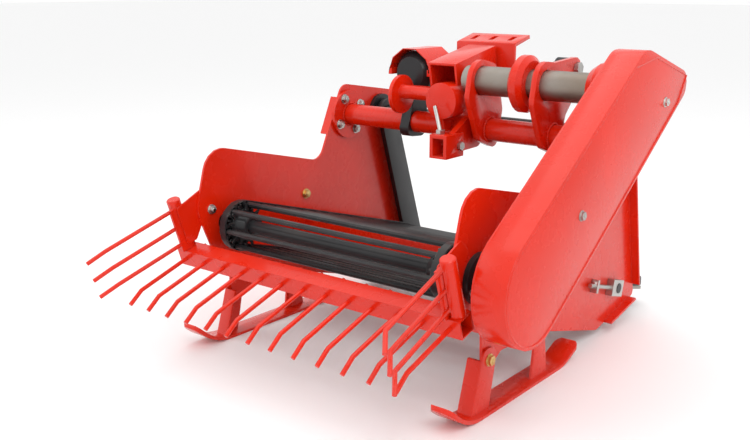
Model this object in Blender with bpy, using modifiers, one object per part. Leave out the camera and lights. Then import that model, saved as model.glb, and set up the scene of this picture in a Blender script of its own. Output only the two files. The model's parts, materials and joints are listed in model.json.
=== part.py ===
"""Single-row potato digger for a compact tractor: a working model with its real pieces.

Metres, +Z up, +Y the way it travels, +X to the right seen from behind. It stands on its
two skids and its share. The digging body is nose-down, so its pieces are drawn in a
frame of their own, level with the elevator and centred on the rear drive shaft.
"""
import bpy
import bmesh
from math import cos, degrees, pi, radians, sin, tan
from mathutils import Matrix, Vector

# ---- driving dimensions -------------------------------------------------------------
GAP = 0.0003                # left between pieces that touch
HALF_WIDTH = 0.310          # centre plane to the inner face of a side plate
SHEET = 0.005               # side plate thickness
FLANGE_WIDTH = 0.018        # folded stiffening edges of the side plates
NOSE_DOWN = radians(16)     # slope of the elevator

SHAFT_Y = 0.115             # rear drive shaft, along the machine
SHAFT_Z = 0.253             # rear drive shaft, above the floor
SHAFT_DIAMETER = 0.030

SIDE_REAR = 0.083           # side plate behind the drive shaft
SIDE_TOP = 0.157            # its top edge above the shaft
SIDE_BOTTOM = 0.096         # its bottom edge below the shaft
SIDE_LENGTH = 0.531         # its bottom edge ahead of the shaft
SIDE_NOSE = 0.700           # its front corner ahead of the shaft
TOWER_REAR = 0.293          # foot and top of the tower that carries the tubes
TOWER_FRONT = 0.500
TOWER_TOP = 0.364

WEB_LENGTH = 0.575          # drive shaft to front roller
WEB_RADIUS = 0.053          # outside of the chains as they turn
CHAIN_HEIGHT = 0.016
CHAIN_WIDTH = 0.015
CHAIN_X = 0.262             # centre plane to the middle of a chain
ROD_DIAMETER = 0.011
ROD_PITCH = 0.0432

CROSS_TUBE = (0.3335, 0.288)        # axis ahead of and above the drive shaft
CROSS_TUBE_DIAMETER = 0.0483
CROSS_TUBE_WALL = 0.004
DRIVE_TUBE = (0.271, 0.380)
DRIVE_TUBE_DIAMETER = 0.060
DRIVE_TUBE_WALL = 0.006
ROCKER = (0.453, 0.317)
ROCKER_DIAMETER = 0.030

CASE_INNER_X = 0.366        # chain case, its back face and its outer face
CASE_OUTER_X = 0.430
CASE_RADIUS = 0.100
CASE_SLOPE = radians(49.6)  # above the elevator
CASE_TOP = 0.462
CASE_WALL = 0.003

LUG_THICKNESS = 0.012
LUG_X = (0.080, 0.229)      # middles of the two lugs

SKID_WIDTH = 0.050
SKID_THICKNESS = 0.006
SKID_REAR = 0.005
SKID_FRONT = 0.475
SKID_BOLTS = ((0.145, 0.096), (0.330, 0.088))   # along the machine, above the floor

GRATE_Y = 0.037             # bar of the rear grate
GRATE_Z = 0.197
GRATE_SLOPE = radians(18)
GRATE_BAR = 0.036
GRATE_HALF = 0.347
TINE_DIAMETER = 0.0085
TINE_COUNT = 13
TINE_PITCH = 0.0543
TINE_BEND = 0.142           # bar to the bend of a tine
TINE_END = 0.176            # bar to its tip
TINE_KICK = radians(21)     # how much the tip turns down
POST_DIAMETER = 0.028
POST_HEIGHT = 0.128
POST_TINES = (0.034, 0.0715, 0.110)
POST_TINE_BEND = 0.178
POST_TINE_FLARE = 0.015

LEG_X = 0.288               # share legs
LEG_WIDTH = 0.060
LEG_THICKNESS = 0.012
SHARE_REAR = 0.775          # share blade, along the machine
SHARE_TIP = 1.000
SHARE_HALF = 0.300
SHARE_SLOPE = radians(14.5)
SHARE_THICKNESS = 0.008

PTO_X = -0.118
PTO_Z = 0.545
PTO_DIAMETER = 0.035
PTO_FRONT = 0.640

BEAM_SIZE = 0.070
BEAM_WALL = 0.005
BEAM_SLOPE = radians(11)

# ---- worked out ---------------------------------------------------------------------
OUTER_FACE = HALF_WIDTH + SHEET
# The origin is on the floor, under the middle of the machine's box.
LEFT_END = GRATE_HALF + POST_TINE_FLARE
CENTRE_X = (CASE_OUTER_X - LEFT_END) / 2
TINE_DROP = (TINE_END - TINE_BEND) * tan(TINE_KICK)
REAR_END = (GRATE_Y - (POST_TINE_BEND + TINE_END - TINE_BEND) * cos(GRATE_SLOPE)
            - (POST_TINES[-1] - TINE_DROP) * sin(GRATE_SLOPE)
            - TINE_DIAMETER / 2 * sin(GRATE_SLOPE + TINE_KICK))
FRONT_END = SHARE_TIP + SHARE_THICKNESS * sin(SHARE_SLOPE)
CENTRE_Y = (REAR_END + FRONT_END) / 2


def body_to_world(y, z):
    """A point of the sloping body's frame, along the machine and above the floor."""
    return (SHAFT_Y + y * cos(NOSE_DOWN) + z * sin(NOSE_DOWN),
            SHAFT_Z - y * sin(NOSE_DOWN) + z * cos(NOSE_DOWN))


# ---- scene, materials, frames -------------------------------------------------------
for old in list(bpy.data.objects):
    bpy.data.objects.remove(old, do_unlink=True)


def new_collection(name):
    group = bpy.data.collections.new(name)
    bpy.context.scene.collection.children.link(group)
    return group


PARTS = new_collection("potato_digger")
HELPERS = new_collection("helpers")


def new_material(name, colour, roughness, metallic):
    made = bpy.data.materials.new(name)
    made.use_nodes = True
    shader = made.node_tree.nodes["Principled BSDF"]
    shader.inputs["Base Color"].default_value = (*colour, 1.0)
    shader.inputs["Roughness"].default_value = roughness
    shader.inputs["Metallic"].default_value = metallic
    return made


RED = new_material("red_paint", (0.80, 0.035, 0.012), 0.30, 0.0)
BLACK = new_material("black_paint", (0.018, 0.018, 0.020), 0.45, 0.0)
STEEL = new_material("bare_steel", (0.42, 0.39, 0.34), 0.38, 1.0)
PLASTIC = new_material("black_plastic", (0.02, 0.02, 0.022), 0.55, 0.0)


def new_frame(name, y, z, slope, parent=None):
    """An empty that pieces are drawn in; slope lifts its +Y."""
    empty = bpy.data.objects.new(name, None)
    PARTS.objects.link(empty)
    empty.location = (0, y, z)
    empty.rotation_euler = (slope, 0, 0)
    empty.parent = parent
    return empty


MACHINE = new_frame("machine", -CENTRE_Y, 0, 0)
MACHINE.location.x = -CENTRE_X
BODY = new_frame("digging_body", SHAFT_Y, SHAFT_Z, -NOSE_DOWN, MACHINE)
GRATE = new_frame("rear_grate", GRATE_Y, GRATE_Z, GRATE_SLOPE, MACHINE)
SHARE_Y, SHARE_Z = body_to_world(*ROCKER)
SHARE = new_frame("share_swing", SHARE_Y, SHARE_Z, 0, MACHINE)
PTO = new_frame("pto_spin", 0, PTO_Z, 0, MACHINE)


# ---- tools --------------------------------------------------------------------------
def finish(piece, frame, colour):
    """Put a new piece in its frame and collection, with its material."""
    for group in list(piece.users_collection):
        group.objects.unlink(piece)
    PARTS.objects.link(piece)
    piece.parent = frame
    piece.data.materials.clear()
    piece.data.materials.append(colour)
    return piece


def smooth(piece, angle=35):
    piece.data.shade_smooth()
    piece.data.set_sharp_from_angle(angle=radians(angle))
    return piece


def box(name, low, high, frame, colour, tilt=0.0):
    """A block between two corners, turned by tilt about the X axis through its middle."""
    mesh = bpy.data.meshes.new(name)
    shape = bmesh.new()
    bmesh.ops.create_cube(shape, size=1.0)
    size = [b - a for a, b in zip(low, high)]
    bmesh.ops.scale(shape, vec=size, verts=shape.verts)
    shape.to_mesh(mesh)
    shape.free()
    piece = bpy.data.objects.new(name, mesh)
    piece.location = [(a + b) / 2 for a, b in zip(low, high)]
    piece.rotation_euler = (tilt, 0, 0)
    return finish(piece, frame, colour)


TO_X = (0, pi / 2, 0)       # a turned piece's axis along +X
TO_Y = (-pi / 2, 0, 0)      # or along +Y


def turned(name, profile, place, turn, frame, colour, sides=24):
    """A turned solid: (radius, height) down its outer side, closed if it starts off axis."""
    mesh = bpy.data.meshes.new(name)
    shape = bmesh.new()
    verts = [shape.verts.new((radius, 0, height)) for radius, height in profile]
    for a, b in zip(verts, verts[1:]):
        shape.edges.new((a, b))
    if profile[0][0] > 0:
        shape.edges.new((verts[-1], verts[0]))
    shape.to_mesh(mesh)
    shape.free()
    piece = bpy.data.objects.new(name, mesh)
    screw = piece.modifiers.new("Turn", "SCREW")
    screw.steps = sides
    screw.render_steps = sides
    screw.use_merge_vertices = True
    screw.merge_threshold = 0.00005
    screw.use_smooth_shade = True
    piece.location = place
    piece.rotation_euler = turn
    return finish(piece, frame, colour)


def rod(name, radius, start, end, at, frame, colour, sides=24):
    """A round bar along X from start to end; at is its (y, z)."""
    half = (end - start) / 2
    profile = [(0, half), (radius, half), (radius, -half), (0, -half)]
    place = ((start + end) / 2, *at)
    return turned(name, profile, place, TO_X, frame, colour, sides)


def ring(name, inner, outer, start, end, at, frame, colour, sides=24):
    """A bush or tube along X from start to end, with a bore."""
    half = (end - start) / 2
    profile = [(inner, half), (outer, half), (outer, -half), (inner, -half)]
    place = ((start + end) / 2, *at)
    return turned(name, profile, place, TO_X, frame, colour, sides)


def arc(centre, radius, start, end, steps):
    """Points on an arc, angles in radians."""
    turns = [start + (end - start) * i / steps for i in range(steps + 1)]
    return [(centre[0] + radius * cos(t), centre[1] + radius * sin(t)) for t in turns]


def rounded(corners, steps=5):
    """An outline from (y, z, radius) corners, each rounded by its radius."""
    points = []
    for i, (y, z, radius) in enumerate(corners):
        here = Vector((y, z))
        back = (Vector(corners[i - 1][:2]) - here).normalized()
        ahead = (Vector(corners[(i + 1) % len(corners)][:2]) - here).normalized()
        if radius == 0:
            points.append((y, z))
            continue
        half = back.angle(ahead) / 2
        centre = here + (back + ahead).normalized() * radius / sin(half)
        start = here + back * radius / tan(half) - centre
        end = here + ahead * radius / tan(half) - centre
        for step in range(steps + 1):
            spoke = start.lerp(end, step / steps).normalized() * radius
            points.append(tuple(centre + spoke))
    return points


def circle(centre, radius, sides=16):
    return arc(centre, radius, 0, 2 * pi, sides)[:-1]


def meshed(piece):
    """The same piece as a mesh with welded caps, ready to be cut or joined."""
    bpy.context.view_layer.update()
    graph = bpy.context.evaluated_depsgraph_get()
    mesh = bpy.data.meshes.new_from_object(piece.evaluated_get(graph))
    shape = bmesh.new()
    shape.from_mesh(mesh)
    bmesh.ops.remove_doubles(shape, verts=shape.verts, dist=0.00001)
    bmesh.ops.recalc_face_normals(shape, faces=shape.faces)
    shape.to_mesh(mesh)
    shape.free()
    name = piece.name
    solid = bpy.data.objects.new(name + "_mesh", mesh)
    solid.parent = piece.parent
    solid.location = piece.location
    solid.rotation_euler = piece.rotation_euler
    for group in piece.users_collection:
        group.objects.link(solid)
    bpy.data.objects.remove(piece, do_unlink=True)
    solid.name = name
    return solid


def plate(name, outlines, inner, outer, frame, colour):
    """A flat plate in the YZ plane, from x = inner to outer: an outline, then its holes."""
    curve = bpy.data.curves.new(name, "CURVE")
    curve.dimensions = "2D"
    curve.fill_mode = "BOTH"
    curve.extrude = abs(outer - inner) / 2
    for outline in outlines:
        spline = curve.splines.new("POLY")
        spline.points.add(len(outline) - 1)
        for point, (y, z) in zip(spline.points, outline):
            point.co = (y, z, 0, 1)
        spline.use_cyclic_u = True
    piece = bpy.data.objects.new(name, curve)
    piece.location = ((inner + outer) / 2, 0, 0)
    piece.rotation_euler = (pi / 2, 0, pi / 2)
    return meshed(finish(piece, frame, colour))


def flat(name, outline, thickness, frame, colour):
    """A flat piece from an (x, y) outline, its thickness shared above and below."""
    curve = bpy.data.curves.new(name, "CURVE")
    curve.dimensions = "2D"
    curve.fill_mode = "BOTH"
    curve.extrude = thickness / 2
    spline = curve.splines.new("POLY")
    spline.points.add(len(outline) - 1)
    for point, (x, y) in zip(spline.points, outline):
        point.co = (x, y, 0, 1)
    spline.use_cyclic_u = True
    return meshed(finish(bpy.data.objects.new(name, curve), frame, colour))


def wire(name, paths, diameter, frame, colour, resolution=2):
    """Round rods along open paths of (x, y, z) points, each with filled ends."""
    curve = bpy.data.curves.new(name, "CURVE")
    curve.dimensions = "3D"
    curve.bevel_depth = diameter / 2
    curve.bevel_resolution = resolution
    curve.use_fill_caps = True
    for path in paths:
        spline = curve.splines.new("POLY")
        spline.points.add(len(path) - 1)
        for point, place in zip(spline.points, path):
            point.co = (*place, 1)
    piece = bpy.data.objects.new(name, curve)
    return finish(piece, frame, colour)


def combine(base, tool, operation):
    for group in list(tool.users_collection):
        group.objects.unlink(tool)
    HELPERS.objects.link(tool)
    tool.name = "tool_" + tool.name
    tool.hide_render = True
    tool.display_type = "WIRE"
    step = base.modifiers.new(operation.title(), "BOOLEAN")
    step.operation = operation
    step.object = tool
    return base


def join(base, *tools):
    for tool in tools:
        combine(base, tool, "UNION")
    return base


def cut(base, *tools):
    for tool in tools:
        combine(base, tool, "DIFFERENCE")
    return base


SIDES = (("left", -1), ("right", 1))


def span(side, near, far):
    """x limits of a piece on one side, from its distances to the centre plane."""
    return sorted((side * near, side * far))


# ---- side plates --------------------------------------------------------------------
def side_outline():
    """Rear lobe, tower and nose of a side plate, anticlockwise from the rear top."""
    nose_low = -0.012
    return rounded([
        (-SIDE_REAR, SIDE_TOP - 0.008, 0.050), (-SIDE_REAR, 0.014, 0.060),
        (0.007, -SIDE_BOTTOM, 0.060), (SIDE_LENGTH, -SIDE_BOTTOM, 0.040),
        (SIDE_NOSE, nose_low, 0.012), (TOWER_FRONT, TOWER_TOP + 0.014, 0.025),
        (TOWER_REAR + 0.003, TOWER_TOP - 0.011, 0.028),
        (TOWER_REAR - 0.028, SIDE_TOP + 0.009, 0.032)])


def strip(name, start, end, side, thickness=SHEET, inset=0.0):
    """A folded edge that stands out from a side plate along a line of the body frame."""
    near, far = span(side, HALF_WIDTH + 0.0006, OUTER_FACE + FLANGE_WIDTH)
    run = Vector(end) - Vector(start)
    middle = (Vector(start) + Vector(end)) / 2
    slope = Vector((1, 0)).angle_signed(run)
    half = run.length / 2
    low = (near, middle.x - half, middle.y - thickness / 2)
    high = (far, middle.x + half, middle.y + thickness / 2)
    return box(name, low, high, BODY, RED, -slope)


def side_plates():
    slot = rounded([(WEB_LENGTH - 0.030, -0.0125, 0.012), (WEB_LENGTH + 0.016, -0.0125, 0.012),
                    (WEB_LENGTH + 0.016, 0.0125, 0.012), (WEB_LENGTH - 0.030, 0.0125, 0.012)], 4)
    bore = circle((0, 0), SHAFT_DIAMETER / 2 + 0.004, 20)
    for word, side in SIDES:
        piece = plate(word + "_side_plate", [side_outline(), bore, slot],
                      *span(side, HALF_WIDTH, OUTER_FACE), BODY, RED)
        inset = SHEET / 2 - 0.0007
        front = strip(word + "_front_edge", (TOWER_FRONT + 0.014 - inset, TOWER_TOP - 0.03),
                      (SIDE_NOSE - 0.014 - inset, 0.012), side)
        lower = strip(word + "_lower_edge", (SIDE_LENGTH + 0.035, -SIDE_BOTTOM + 0.0175 + inset),
                      (SIDE_NOSE - 0.022, -0.0230 + inset), side)
        rear = strip(word + "_tower_edge", (TOWER_REAR - 0.017 + inset, SIDE_TOP + 0.072),
                     (TOWER_REAR - 0.0025 + inset, TOWER_TOP - 0.045), side)
        join(piece, front, lower, rear)


# ---- tubes and bearings -------------------------------------------------------------
FLANGE_RADIUS = 0.057
FLANGE_THICKNESS = 0.008


def tubes():
    tube = ring("cross_tube", CROSS_TUBE_DIAMETER / 2 - CROSS_TUBE_WALL,
                CROSS_TUBE_DIAMETER / 2, GAP - HALF_WIDTH, HALF_WIDTH - GAP,
                CROSS_TUBE, BODY, RED)
    for word, side in SIDES:
        near, far = span(side, HALF_WIDTH - FLANGE_THICKNESS, HALF_WIDTH - GAP * 1.5)
        join(tube, ring(word + "_tube_flange", CROSS_TUBE_DIAMETER / 2 - 0.002, FLANGE_RADIUS,
                        near, far, CROSS_TUBE, BODY, RED))
        near, far = span(side, HALF_WIDTH - 0.010, HALF_WIDTH - GAP)
        ring(word + "_rocker_bearing", ROCKER_DIAMETER / 2 + GAP, 0.042, near, far,
             ROCKER, BODY, BLACK)
    ring("drive_tube", DRIVE_TUBE_DIAMETER / 2 - DRIVE_TUBE_WALL, DRIVE_TUBE_DIAMETER / 2,
         0.052, CASE_INNER_X - GAP, DRIVE_TUBE, BODY, STEEL, 28)
    fit = DRIVE_TUBE_DIAMETER / 2 + GAP
    half = 0.016
    profile = [(fit, half), (0.047, half), (0.0575, half * 0.45), (0.0575, -half * 0.45),
               (0.047, -half), (fit, -half)]
    turned("tube_collar", profile, (0.188, *DRIVE_TUBE), TO_X, BODY, RED, 28)
    half = 0.015
    profile = [(fit, half), (0.050, half), (0.050, 0), (0.040, -half), (fit, -half)]
    turned("case_upper_bearing", profile, (CASE_INNER_X - GAP - half, *DRIVE_TUBE), TO_X,
           BODY, RED, 28)


ARM_PIVOT = (0.382, 0.438)      # bolt of the lugs' arms, in the body frame


def lugs():
    """Thick plates that clamp the drive tube to the cross tube; the second holds a link bolt."""
    rear_tube = [(DRIVE_TUBE[0] - 0.046, DRIVE_TUBE[1] + 0.040, 0.040),
                 (DRIVE_TUBE[0] - 0.040, DRIVE_TUBE[1] - 0.045, 0.030),
                 (CROSS_TUBE[0] - 0.036, CROSS_TUBE[1] - 0.030, 0.020),
                 (CROSS_TUBE[0] + 0.040, CROSS_TUBE[1] - 0.036, 0.020)]
    plain = [(CROSS_TUBE[0] + 0.036, CROSS_TUBE[1] + 0.050, 0.020),
             (DRIVE_TUBE[0] + 0.046, DRIVE_TUBE[1] + 0.045, 0.030)]
    armed = [(CROSS_TUBE[0] + 0.038, CROSS_TUBE[1] + 0.050, 0.020),
             (ARM_PIVOT[0] + 0.030, ARM_PIVOT[1] - 0.030, 0.024),
             (ARM_PIVOT[0] + 0.016, ARM_PIVOT[1] + 0.030, 0.024),
             (DRIVE_TUBE[0] + 0.020, DRIVE_TUBE[1] + 0.050, 0.020)]
    holes = [circle(DRIVE_TUBE, DRIVE_TUBE_DIAMETER / 2 + GAP, 28),
             circle(CROSS_TUBE, CROSS_TUBE_DIAMETER / 2 + GAP, 24)]
    half = LUG_THICKNESS / 2
    bolt_radius = 0.008
    bolt_hole = circle(ARM_PIVOT, bolt_radius + GAP, 12)
    for number, (x, front, extra) in enumerate(zip(LUG_X, (plain, armed), ([], [bolt_hole])), 1):
        plate("lug_%d" % number, [rounded(rear_tube + front, 4), *holes, *extra],
              x - half, x + half, BODY, RED)
    bush = 0.030
    x = LUG_X[1] - half - GAP
    ring("link_bush", bolt_radius + GAP, 0.021, x - bush, x, ARM_PIVOT, BODY, PLASTIC, 20)
    head = 0.010
    start = x - bush - GAP - head
    end = LUG_X[1] + half + GAP
    pin = rod("link_bolt", bolt_radius, start, end + head, ARM_PIVOT, BODY, STEEL, 12)
    join(pin, rod("link_bolt_head", 0.013, start - 0.0002, start + head, ARM_PIVOT, BODY, STEEL, 6),
         rod("link_bolt_nut", 0.013, end, end + head - 0.0002, ARM_PIVOT, BODY, STEEL, 6))


# ---- hitch --------------------------------------------------------------------------
BEAM_REAR = 0.462
BEAM_FRONT = 0.616
BEAM_TOP = 0.577
HUB_RADIUS = 0.038
HUB_REAR = 0.436
HUB_Z = 0.500
BRACKET_WIDTH = 0.150
BRACKET_DEPTH = 0.064
BRACKET_DROP = 0.085


def hitch():
    """The box beam behind the tractor with its hub and cross bar, and the hitch angle."""
    rise = (BEAM_FRONT - BEAM_REAR) * tan(BEAM_SLOPE)
    length = (BEAM_FRONT - BEAM_REAR) / cos(BEAM_SLOPE)
    middle_y = (BEAM_REAR + BEAM_FRONT) / 2
    middle_z = BEAM_TOP + rise / 2 - BEAM_SIZE / 2
    half = BEAM_SIZE / 2
    beam = box("hitch_beam", (-half, middle_y - length / 2, middle_z - half),
               (half, middle_y + length / 2, middle_z + half), MACHINE, RED, BEAM_SLOPE)
    inside = half - BEAM_WALL
    cut(beam, box("beam_hollow", (-inside, middle_y - length, middle_z - inside),
                  (inside, middle_y + length, middle_z + inside), MACHINE, RED, BEAM_SLOPE))
    depth = 0.045
    profile = [(0, depth / 2), (HUB_RADIUS, depth / 2), (HUB_RADIUS, -depth / 2), (0, -depth / 2)]
    hub = turned("hub", profile, (0.012, HUB_REAR + depth / 2, HUB_Z), TO_Y, MACHINE, RED, 28)
    bar = rod("hub_bar", 0.0155, -0.105, -0.015, (HUB_REAR + 0.024, HUB_Z + 0.010), MACHINE, RED)
    disc = rod("bar_flange", 0.042, -0.113, -0.104, (HUB_REAR + 0.024, HUB_Z + 0.004), MACHINE,
               RED, 28)
    # A saddle carries the beam's weight down to the cross tube.
    tube_y, tube_z = body_to_world(*CROSS_TUBE)
    saddle = plate("beam_saddle", [rounded([
        (HUB_REAR + 0.012, HUB_Z - 0.010, 0), (HUB_REAR + 0.030, tube_z - 0.020, 0.012),
        (tube_y + 0.042, tube_z - 0.020, 0.012), (BEAM_FRONT - 0.030, HUB_Z + 0.033, 0)], 4),
        circle((tube_y, tube_z), CROSS_TUBE_DIAMETER / 2 + GAP, 24)],
        -0.006, 0.006, MACHINE, RED)
    join(beam, hub, bar, disc, saddle)
    front = BEAM_FRONT + half * sin(BEAM_SLOPE) + GAP
    top = BEAM_TOP + rise + 0.004
    thick = 0.008
    wide = BRACKET_WIDTH / 2
    angle = radians(14)
    bracket = box("hitch_bracket", (-wide, front, top - BRACKET_DROP),
                  (wide, front + thick, top), MACHINE, RED)
    reach = front + thick / 2 + BRACKET_DEPTH / 2 * cos(angle)
    lift = top - thick / 2 + BRACKET_DEPTH / 2 * sin(angle) + 0.001
    join(bracket, box("bracket_top", (-wide + GAP, reach - BRACKET_DEPTH / 2, lift - thick / 2),
                      (wide - GAP, reach + BRACKET_DEPTH / 2, lift + thick / 2), MACHINE, RED,
                      angle))
    slot = 0.028
    for i in (-1, 0, 1):
        x = i * BRACKET_WIDTH / 3.1
        cut(bracket, box("bracket_slot", (x - 0.006, reach - slot / 2, lift - 0.03),
                         (x + 0.006, reach + slot / 2, lift + 0.03), MACHINE, RED, angle))


# ---- depth adjuster -----------------------------------------------------------------
CLEVIS = (0.048, 0.400, 0.413)      # middle of the clevis


def adjuster():
    """A clevis on an arm behind the cross tube, with the screw that comes down to it."""
    x, y, z = CLEVIS
    tube_y, tube_z = body_to_world(*CROSS_TUBE)
    plate("adjuster_arm", [rounded([
        (y + 0.012, z - 0.018, 0.010), (tube_y + 0.006, tube_z - 0.040, 0.020),
        (tube_y + 0.034, tube_z - 0.010, 0.020), (tube_y + 0.030, tube_z + 0.034, 0.018),
        (tube_y - 0.030, tube_z + 0.030, 0.020), (y + 0.012, z + 0.016, 0.010)], 4),
        circle((tube_y, tube_z), CROSS_TUBE_DIAMETER / 2 + GAP, 24),
        circle((y + 0.024, z), 0.0063, 12)], x - 0.007, x + 0.007, MACHINE, RED)
    clevis = box("adjuster_clevis", (x - 0.021, y - 0.024, z - 0.023),
                 (x + 0.021, y + 0.040, z + 0.026), MACHINE, RED)
    hollow = box("clevis_slot", (x - 0.013, y - 0.050, z - 0.018),
                 (x + 0.013, y + 0.060, z + 0.018), MACHINE, RED)
    cut(clevis, hollow)
    side_cut = box("clevis_back", (x - 0.013, y + 0.010, z), (x + 0.013, y + 0.060, z + 0.040),
                   MACHINE, RED)
    cut(clevis, side_cut)
    bore = rod("clevis_bore", 0.0063, x - 0.05, x + 0.05, (y + 0.024, z), MACHINE, RED, 12)
    cut(clevis, bore)
    pin = rod("clevis_pin", 0.006, x - 0.026, x + 0.026, (y + 0.024, z), MACHINE, STEEL, 12)
    for start in (x - 0.0285, x + 0.021 + GAP):
        join(pin, rod("clevis_pin_head", 0.0095, start, start + 0.0072, (y + 0.024, z), MACHINE,
                      STEEL, 6))
    height = 0.008
    seat = (x - 0.006, y - 0.006, z + 0.026 + GAP + height / 2)
    nut = turned("adjuster_screw", [(0, height / 2), (0.010, height / 2), (0.010, -height / 2),
                                    (0, -height / 2)], seat, (0, 0, 0), MACHINE, STEEL, 6)
    head = (seat[0] - 0.026, seat[1] + 0.016, HUB_Z - 0.008)
    join(nut, meshed(wire("adjuster_rod", [[seat, head]], 0.009, MACHINE, STEEL)))


# ---- gearbox and power take-off -----------------------------------------------------
BOX_REAR = 0.5035
BOX_FRONT = 0.575
BOX_RADIUS = 0.048
HOOD_RADIUS = 0.057
HOOD_FLATS = 5


def gearbox():
    """The gearbox casting, the tractor shaft's bell with its hood, and the splined stub."""
    half = (BOX_FRONT - BOX_REAR) / 2
    body = turned("gearbox", [(0, half), (0.034, half), (0.036, half - 0.006),
                              (BOX_RADIUS, half - 0.008), (BOX_RADIUS, 0.014 - half),
                              (0.036, -half), (0, -half)],
                  (PTO_X, BOX_REAR + half, PTO_Z), TO_Y, MACHINE, BLACK, 24)
    tube_y, tube_z = body_to_world(*CROSS_TUBE)
    foot = plate("gearbox_foot", [rounded([
        (tube_y - 0.040, tube_z - 0.030, 0.018), (tube_y + 0.036, tube_z - 0.036, 0.020),
        (tube_y + 0.040, PTO_Z - 0.020, 0), (BOX_REAR + 0.012, PTO_Z - 0.020, 0)], 4),
        circle((tube_y, tube_z), CROSS_TUBE_DIAMETER / 2 + GAP, 24)],
        PTO_X - 0.012, PTO_X + 0.012, MACHINE, RED)
    join(body, foot)
    half = (PTO_FRONT - BOX_FRONT) / 2 - 0.004
    wall = 0.003
    profile = [(0.038, half), (0.041, half), (0.036, -half), (0.024, -half),
               (0.024, wall - half), (0.033, wall - half)]
    turned("pto_bell", profile, (PTO_X, BOX_FRONT + GAP + half, PTO_Z), TO_Y, MACHINE, PLASTIC, 24)
    half = (PTO_FRONT - BOX_FRONT - GAP) / 2
    radius = PTO_DIAMETER / 2
    profile = [(0, half), (radius - 0.002, half), (radius, half - 0.003), (radius, -half),
               (0, -half)]
    turned("pto_stub", profile, (PTO_X, BOX_FRONT + GAP + half, 0), TO_Y, PTO, STEEL, 20)
    # The hood is flats bent round the top of the gearbox, standing on two feet.
    turns = [pi * i / HOOD_FLATS for i in range(HOOD_FLATS + 1)]
    sheet = 0.002
    outer = [(HOOD_RADIUS * cos(turn), HOOD_RADIUS * sin(turn)) for turn in turns]
    thin = HOOD_RADIUS - sheet
    inner = [(thin * cos(turn), thin * sin(turn)) for turn in turns[::-1]]
    foot = BOX_RADIUS + GAP
    inner = [(-thin, -0.004), (-foot, -0.004), (-foot, 0.010), (-thin, 0.010), *inner[1:-1],
             (thin, 0.010), (foot, 0.010), (foot, -0.004), (HOOD_RADIUS, -0.004)]
    outer = [*outer[:-1], (-HOOD_RADIUS, 0), (-HOOD_RADIUS, -0.004)]
    length = 0.100
    hood = flat("pto_hood", outer + inner, length, MACHINE, RED)
    hood.location = (PTO_X, BOX_REAR - 0.004 + length / 2, PTO_Z)
    hood.rotation_euler = (pi / 2, 0, 0)


# ---- chain case ---------------------------------------------------------------------
def case_outline(inset):
    """The case in the body frame: round the drive shaft, slanting up, flat on top."""
    radius = CASE_RADIUS - inset
    top = CASE_TOP - inset
    along = Vector((cos(CASE_SLOPE), sin(CASE_SLOPE)))
    across = Vector((sin(CASE_SLOPE), -cos(CASE_SLOPE)))

    def meet(offset):
        foot = across * offset
        run = (top - foot.y) / along.y
        return foot + along * run

    left = meet(-radius)
    right = meet(radius)
    ends = rounded([(*(-across * radius), 0), (*(across * radius), 0),
                    (*right, 0.030 - inset), (*left, 0.060 - inset)], 6)
    turn = CASE_SLOPE + pi / 2
    lower = arc((0, 0), radius, turn, turn + pi, 14)
    return lower + ends[2:]


def chain_case():
    """A deep cover over the side drive, closed towards the machine by a back plate."""
    case = plate("chain_case", [case_outline(0)], CASE_INNER_X + 0.004, CASE_OUTER_X, BODY, RED)
    hollow = plate("case_hollow", [case_outline(CASE_WALL)], CASE_INNER_X - 0.02,
                   CASE_OUTER_X - CASE_WALL, BODY, RED)
    cut(case, hollow)
    hole = circle((0, 0), SHAFT_DIAMETER / 2 + 0.002, 20)
    plate("case_back", [case_outline(0.001), hole], CASE_INNER_X, CASE_INNER_X + 0.004 - GAP,
          BODY, RED)


# ---- elevator -----------------------------------------------------------------------
def loop(radius, steps=12):
    """The stadium that a chain follows round the two shafts."""
    return (arc((0, 0), radius, pi / 2, 3 * pi / 2, steps)
            + arc((WEB_LENGTH, 0), radius, -pi / 2, pi / 2, steps))


def elevator():
    """Two chains with a rod across them at each pitch, as one loop."""
    inner = WEB_RADIUS - CHAIN_HEIGHT
    pitch_radius = WEB_RADIUS - CHAIN_HEIGHT / 2
    web = plate("elevator_web", [loop(WEB_RADIUS), loop(inner)],
                *span(-1, CHAIN_X - CHAIN_WIDTH / 2, CHAIN_X + CHAIN_WIDTH / 2), BODY, BLACK)
    other = plate("right_chain", [loop(WEB_RADIUS), loop(inner)],
                  *span(1, CHAIN_X - CHAIN_WIDTH / 2, CHAIN_X + CHAIN_WIDTH / 2), BODY, BLACK)
    length = 2 * WEB_LENGTH + 2 * pi * pitch_radius
    count = round(length / ROD_PITCH)
    reach = CHAIN_X + CHAIN_WIDTH * 0.35
    paths = []
    for number in range(count):
        run = length * number / count
        bend = pi * pitch_radius
        if run < WEB_LENGTH:
            y, z = run, pitch_radius
        elif run < WEB_LENGTH + bend:
            turn = pi / 2 - (run - WEB_LENGTH) / pitch_radius
            y, z = WEB_LENGTH + pitch_radius * cos(turn), pitch_radius * sin(turn)
        elif run < 2 * WEB_LENGTH + bend:
            y, z = 2 * WEB_LENGTH + bend - run, -pitch_radius
        else:
            turn = -pi / 2 - (run - 2 * WEB_LENGTH - bend) / pitch_radius
            y, z = pitch_radius * cos(turn), pitch_radius * sin(turn)
        paths.append([(-reach, y, z), (reach, y, z)])
    rods = meshed(wire("web_rods", paths, ROD_DIAMETER, BODY, BLACK))
    join(web, other, rods)


SPROCKET_RADIUS = WEB_RADIUS - CHAIN_HEIGHT - 0.0006


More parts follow.
